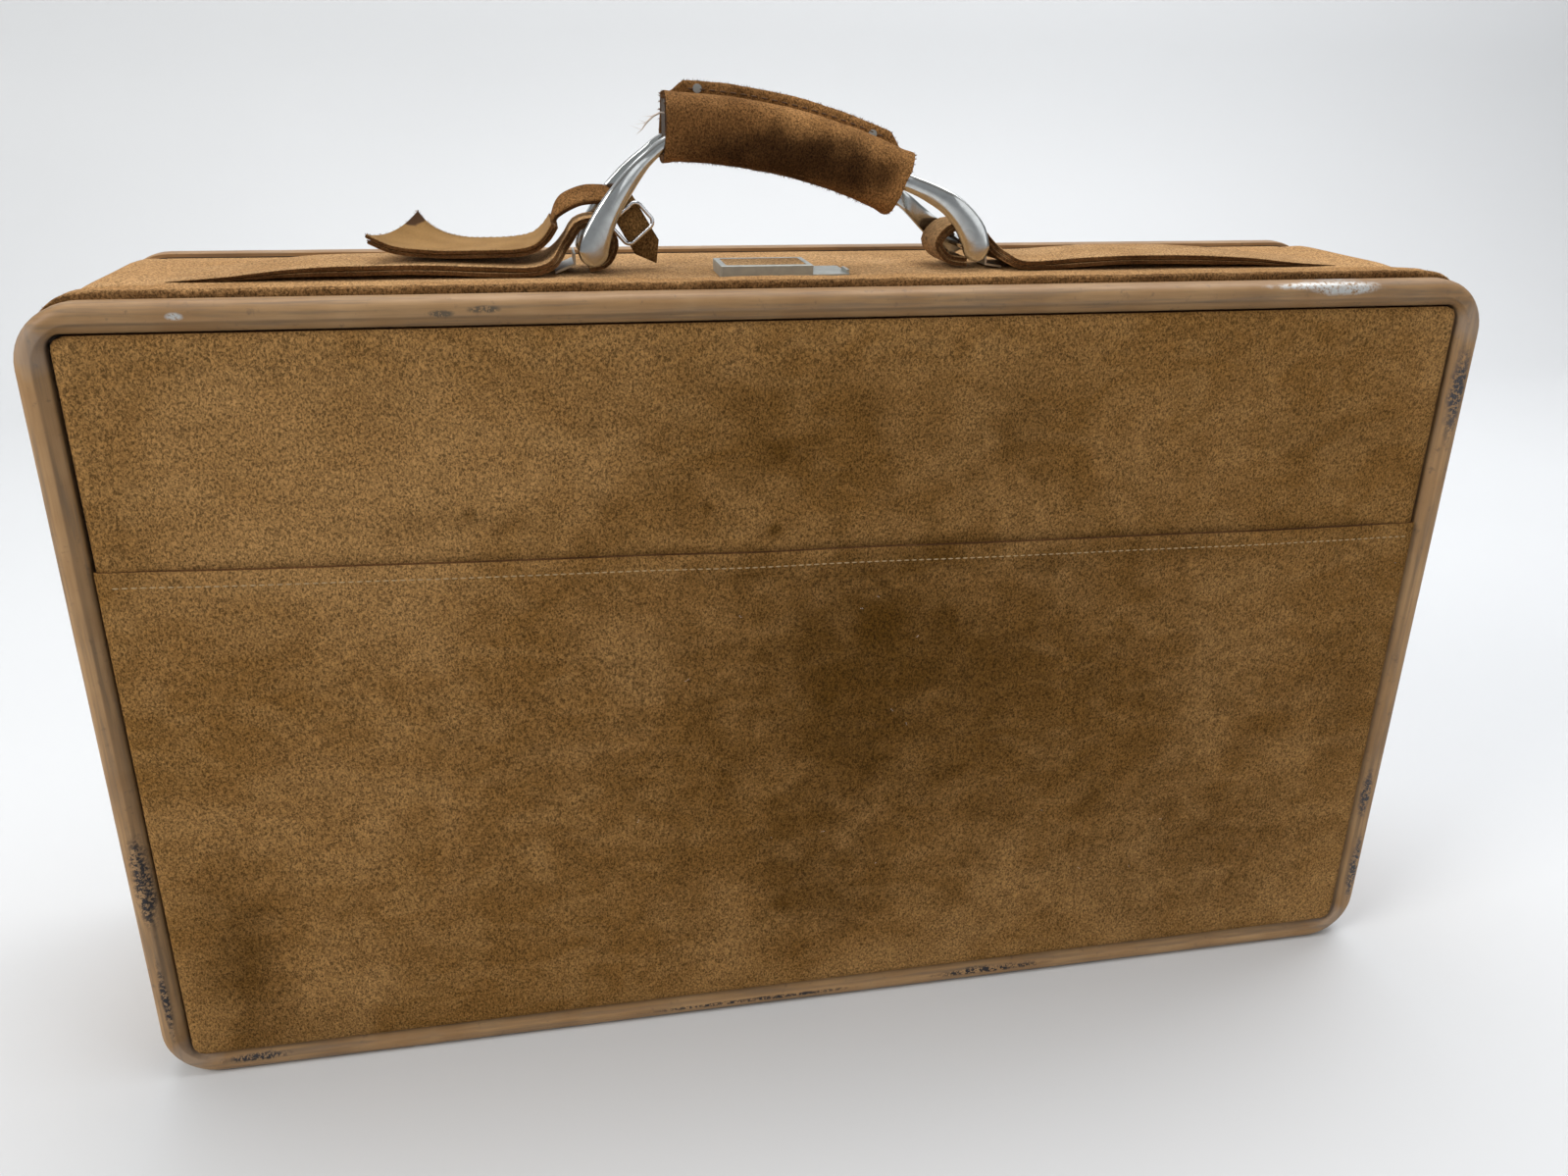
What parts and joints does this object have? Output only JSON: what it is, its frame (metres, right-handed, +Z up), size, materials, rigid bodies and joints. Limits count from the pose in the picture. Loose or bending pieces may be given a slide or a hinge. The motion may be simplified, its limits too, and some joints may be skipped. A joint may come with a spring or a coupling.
{
  "type": "suede travel case",
  "caption": "Flat rectangular travel case: suede panels in rounded aluminium edge frames, outer pocket, zipped front door, arched top handle on straps, sliding lock cover and luggage tag.",
  "frame": {"origin": "on the floor, under the middle of the standing case", "axes": "+X to the right along the case's length as its front is faced, +Y to the back through its thickness, +Z up towards the handle"},
  "size_m": [0.61, 0.152, 0.4328],
  "materials": {
    "frame_paint": "satin tan paint, worn to bare aluminium in places",
    "board": "raw hardboard",
    "foam": "soft foam",
    "suede": "napped suede",
    "suede_strap": "napped suede, worn dark",
    "suede_grip": "napped suede, darkened by hands",
    "tag_leather": "smooth worn suede",
    "lining": "plain woven lining",
    "hinge_steel": "satin",
    "rivet": "satin",
    "zip_tape": "woven tape",
    "zip_metal": "aged brass",
    "lock_metal": "satin, slightly greenish",
    "handle_metal": "polished",
    "core": "turned wood"
  },
  "bodies": {
    "case_body": {"back_frame": "frame_paint", "back_board": "board", "back_pad": "foam", "back_suede": "suede", "boxing_shell": "board", "boxing_suede": "suede", "zip_flap": "suede", "body_lining": "lining", "hinge_leaf_body": "hinge_steel", "hinge_pin": "hinge_steel", "hinge_rivets_body": "rivet", "zip_tape_body": "zip_tape", "zip_chain_body": "zip_metal", "lock_plate": "lock_metal", "lock_case": "hinge_steel", "lock_screws": "hinge_steel", "strap_left": "suede_strap", "strap_right": "suede_strap", "strap_plate_left": "handle_metal", "strap_plate_right": "handle_metal"},
    "front_door": {"front_frame": "frame_paint", "front_board": "board", "front_pad": "foam", "front_suede": "suede", "pocket_panel": "suede", "door_lining": "lining", "hinge_leaf_door": "hinge_steel", "hinge_rivets_door": "rivet", "zip_tape_door": "zip_tape", "zip_chain_door": "zip_metal"},
    "handle": {"handle_plate_front": "handle_metal", "handle_plate_rear": "handle_metal", "handle_bar_left": "handle_metal", "handle_bar_right": "handle_metal", "grip_core": "core", "grip_wrap": "suede_grip", "grip_rivets": "rivet", "tag_strap": "suede_strap", "buckle_frame": "handle_metal"},
    "tag": {"tag_top": "tag_leather", "tag_bottom": "suede_strap"},
    "zip_left": {"zip_slider_left": "zip_metal", "zip_pull_left": "zip_metal"},
    "zip_right": {"zip_slider_right": "zip_metal", "zip_pull_right": "zip_metal"},
    "lock_slide": {"lock_cover": "lock_metal", "lock_inlay": "suede"},
    "key_barrel": {"lock_cylinder": "zip_metal"}
  },
  "joints": [
    {"name": "door_hinge", "type": "hinge", "parent": "case_body", "child": "front_door", "pos_m": [0, -0.062, 0.0022], "axis": [1, 0, 0], "range_deg": [0, 85]},
    {"name": "handle_swing", "type": "hinge", "parent": "case_body", "child": "handle", "pos_m": [0, 0, 0.365], "axis": [1, 0, 0], "range_deg": [-8, 8]},
    {"name": "tag_lift", "type": "hinge", "parent": "case_body", "child": "tag", "pos_m": [-0.105, 0.0065, 0.377], "axis": [0, 1, 0], "range_deg": [0, 60]},
    {"name": "zip_left_slide", "type": "slide", "parent": "case_body", "child": "zip_left", "axis": [-1, 0, 0], "range_m": [0, 0.235]},
    {"name": "zip_right_slide", "type": "slide", "parent": "case_body", "child": "zip_right", "axis": [1, 0, 0], "range_m": [0, 0.235]},
    {"name": "lock_cover_slide", "type": "slide", "parent": "case_body", "child": "lock_slide", "axis": [1, 0, 0], "range_m": [0, 0.01]},
    {"name": "key_turn", "type": "hinge", "parent": "case_body", "child": "key_barrel", "pos_m": [-0.0315, -0.017, 0.35], "axis": [0, 0, 1], "range_deg": [0, 90]}
  ]
}
